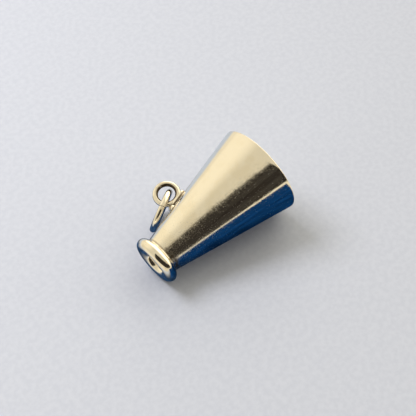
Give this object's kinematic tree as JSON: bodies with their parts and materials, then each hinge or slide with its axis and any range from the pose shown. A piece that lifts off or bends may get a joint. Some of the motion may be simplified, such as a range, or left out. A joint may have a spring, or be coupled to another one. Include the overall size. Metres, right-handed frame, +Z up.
{
  "type": "megaphone charm",
  "caption": "Small hollow silver cone charm shaped like a megaphone, with a thick ring round its small end and a side loop that carries a free jump ring.",
  "frame": {"origin": "centre of the bounding box, on the surface that the charm lies on", "axes": "+X from the mouthpiece ring to the bell, +Y to the side with the loop, +Z up"},
  "size_m": [0.0206, 0.0144, 0.0127],
  "materials": {
    "polished_silver": "polished silver, warm tone, fine hairline scratches",
    "wire_silver": "drawn silver wire, polished, lightly scuffed",
    "solder_silver": "silver solder, duller, slightly tarnished"
  },
  "bodies": {
    "charm": {"horn": "polished_silver", "mouthpiece_ring": "polished_silver", "neck_solder": "solder_silver", "bail_foot": "polished_silver", "bail_loop": "wire_silver", "bail_solder_back": "solder_silver", "bail_solder_front": "solder_silver"},
    "jump_ring": {"jump_ring": "wire_silver"}
  },
  "joints": [
    {"name": "jump_ring_swing", "type": "hinge", "parent": "charm", "child": "jump_ring", "pos_m": [-0.00331, 0.00446, 0.00488], "axis": [-0.5365, 0.8439, 0.0034], "range_deg": [-6, 170]}
  ]
}
